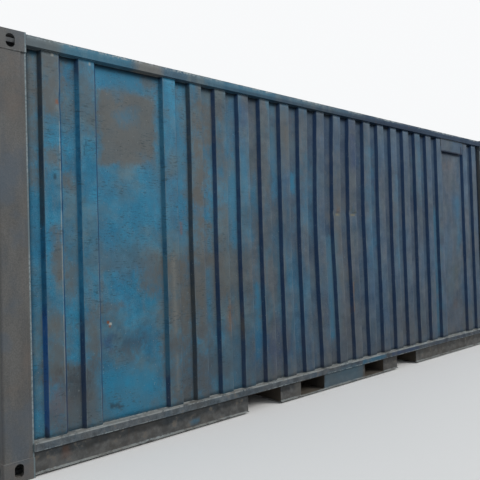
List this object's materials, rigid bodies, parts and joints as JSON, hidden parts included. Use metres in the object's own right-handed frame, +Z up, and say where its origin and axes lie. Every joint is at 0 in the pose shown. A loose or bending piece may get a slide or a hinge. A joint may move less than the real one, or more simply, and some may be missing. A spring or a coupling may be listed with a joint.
{
  "type": "shipping container",
  "caption": "Worn steel dry-freight shipping container with corrugated walls, ribbed roof, hollow corner castings, fork pockets, plywood floor and closed rear doors with locking rods.",
  "frame": {"origin": "middle of the base, at the height of the bottom corner castings' lower faces", "axes": "+Z up, X along the length with the doors at +X, Y across, with the pictured side at -Y"},
  "size_m": [6.058, 2.438, 2.591],
  "materials": {
    "frame_paint": "matte",
    "rail_paint": "matte",
    "wall_paint": "matte",
    "roof_paint": "matte",
    "underside_paint": "matte",
    "door_paint": "matte",
    "plywood": "matte",
    "gasket_rubber": "matte",
    "galvanised": "satin"
  },
  "bodies": {
    "root": {"casting_bottom_front_left": "frame_paint", "casting_bottom_front_right": "frame_paint", "casting_bottom_rear_left": "frame_paint", "casting_bottom_rear_right": "frame_paint", "casting_top_front_left": "frame_paint", "casting_top_front_right": "frame_paint", "casting_top_rear_left": "frame_paint", "casting_top_rear_right": "frame_paint", "post_front_left": "frame_paint", "post_front_right": "frame_paint", "post_rear_left": "frame_paint", "post_rear_right": "frame_paint", "top_rail_left": "rail_paint", "top_rail_right": "rail_paint", "bottom_rail_left": "rail_paint", "bottom_rail_right": "rail_paint", "front_top_rail": "frame_paint", "front_sill": "frame_paint", "door_header": "frame_paint", "door_sill": "frame_paint", "side_wall_left": "wall_paint", "side_wall_right": "wall_paint", "vent_cover_left": "wall_paint", "vent_cover_right": "wall_paint", "front_wall": "wall_paint", "roof": "roof_paint", "roof_corner_plates": "frame_paint", "floor_deck": "plywood", "cross_members": "underside_paint", "fork_pocket_outer_front": "underside_paint", "fork_pocket_inner_front": "underside_paint", "fork_pocket_inner_rear": "underside_paint", "fork_pocket_outer_rear": "underside_paint", "door_leaf_left": "door_paint", "door_leaf_right": "door_paint", "door_gaskets": "gasket_rubber", "door_hinges": "door_paint", "lock_rod_left_outer": "galvanised", "lock_rod_left_inner": "galvanised", "lock_rod_right_inner": "galvanised", "lock_rod_right_outer": "galvanised", "rod_brackets": "galvanised", "cam_keepers": "door_paint", "door_handles": "galvanised", "handle_catches": "galvanised"}
  },
  "joints": []
}
